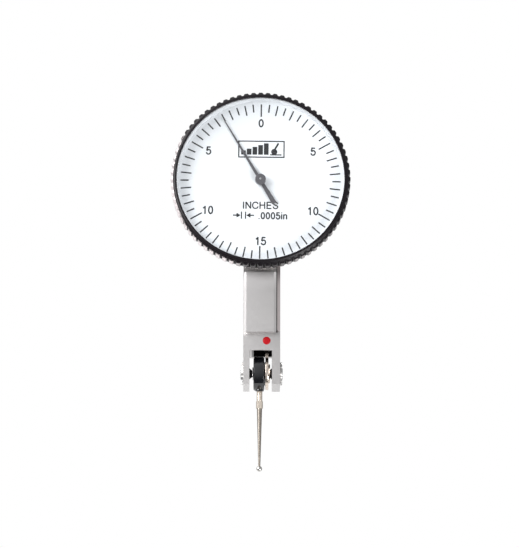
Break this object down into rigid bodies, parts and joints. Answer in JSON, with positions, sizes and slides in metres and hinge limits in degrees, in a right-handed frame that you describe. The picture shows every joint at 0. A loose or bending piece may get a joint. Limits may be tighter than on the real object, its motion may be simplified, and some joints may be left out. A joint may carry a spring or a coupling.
{
  "type": "lever-type dial test indicator",
  "caption": "Lever-type dial test indicator: slim dovetailed body, balanced dial in a knurled turning bezel, and a pivoted, swivelling stylus with a ball tip.",
  "frame": {"origin": "centre of the end dovetail's flat face, at the top of the body", "axes": "+Z is the end dovetail's outward normal, up the body away from the stylus; the dial faces -Y; +X is to the viewer's right when the dial faces the viewer"},
  "size_m": [0.032, 0.0155, 0.0679],
  "materials": {
    "satin_steel": "satin ground stainless steel, very fine grain along the body",
    "cover_steel": "satin steel plate, slightly warmer than the body",
    "screw_steel": "black oxide on turned steel",
    "red_enamel": "glossy red enamel dot",
    "plate_metal": "turned steel, satin",
    "spring_steel": "drawn spring wire",
    "bezel_black": "black anodised, satin, with burnished knurl edges",
    "clear_crystal": "clear polished flat crystal with a stepped edge",
    "rim_silver": "pale satin ring inside the bezel",
    "dial_white": "white lacquered dial",
    "dial_ink": "black printing ink on the dial",
    "pointer_grey": "dark grey painted pointer",
    "polished_steel": "polished hardened steel",
    "gear_brass": "machined brass, light satin",
    "blued_spring": "heat-blued hairspring strip",
    "ruby": "polished synthetic ruby jewel",
    "lever_nickel": "warm nickel-plated steel",
    "carrier_black": "blackened steel, satin",
    "stylus_nickel": "warm nickel plating, bright",
    "carbide": "polished tungsten carbide"
  },
  "bodies": {
    "body": {"housing": "satin_steel", "side_cover": "cover_steel", "side_cover_screws": "screw_steel", "red_marker": "red_enamel", "dial_base_plate": "plate_metal", "base_plate_screws": "screw_steel", "bezel_retaining_ring": "spring_steel", "hairspring": "blued_spring", "hairspring_stud": "gear_brass", "front_jewel": "ruby", "rear_jewel": "ruby", "arbor_bridge": "gear_brass", "bridge_screw": "screw_steel", "crown_jewel_left": "ruby", "crown_jewel_right": "ruby", "lever_stop_pins": "polished_steel", "pivot_screw_left": "screw_steel", "pivot_screw_right": "screw_steel", "pivot_locknut_left": "plate_metal", "pivot_locknut_right": "plate_metal"},
    "bezel": {"bezel_ring": "bezel_black", "crystal": "clear_crystal", "dial_spacer_ring": "rim_silver", "dial_face": "dial_white", "dial_clamp_ring": "rim_silver"},
    "lever": {"sector_lever": "lever_nickel", "pivot_axle": "polished_steel", "friction_washer": "screw_steel"},
    "stylus_arm": {"stylus_carrier": "carrier_black", "stylus": "stylus_nickel", "ball_tip": "carbide"},
    "crown": {"crown_gear": "gear_brass", "crown_shaft": "polished_steel"},
    "pointer_arbor": {"pointer": "pointer_grey", "pointer_collet": "polished_steel", "centre_arbor": "polished_steel", "hairspring_collet": "gear_brass"}
  },
  "joints": [
    {"name": "lever_swing", "type": "hinge", "parent": "body", "child": "lever", "pos_m": [0, 0, -0.0504], "axis": [1, 0, 0], "range_deg": [-2.6, 2.6], "stiffness_Nm_per_rad": 0.06},
    {"name": "stylus_swivel", "type": "hinge", "parent": "lever", "child": "stylus_arm", "pos_m": [0, 0, -0.0504], "axis": [1, 0, 0], "range_deg": [-110, 110]},
    {"name": "crown_turn", "type": "hinge", "parent": "body", "child": "crown", "pos_m": [0, 0, -0.0168], "axis": [1, 0, 0], "range_deg": [-71.5, 71.5]},
    {"name": "pointer_turn", "type": "hinge", "parent": "body", "child": "pointer_arbor", "pos_m": [0, 0, -0.0168], "axis": [0, 1, 0], "range_deg": [-365, 365]},
    {"name": "bezel_turn", "type": "hinge", "parent": "body", "child": "bezel", "pos_m": [0, 0, -0.0168], "axis": [0, 1, 0], "continuous": true}
  ],
  "couplings": [
    {"joint": "crown_turn", "follows": "lever_swing", "ratio": -27.333},
    {"joint": "pointer_turn", "follows": "lever_swing", "ratio": 140.08}
  ]
}
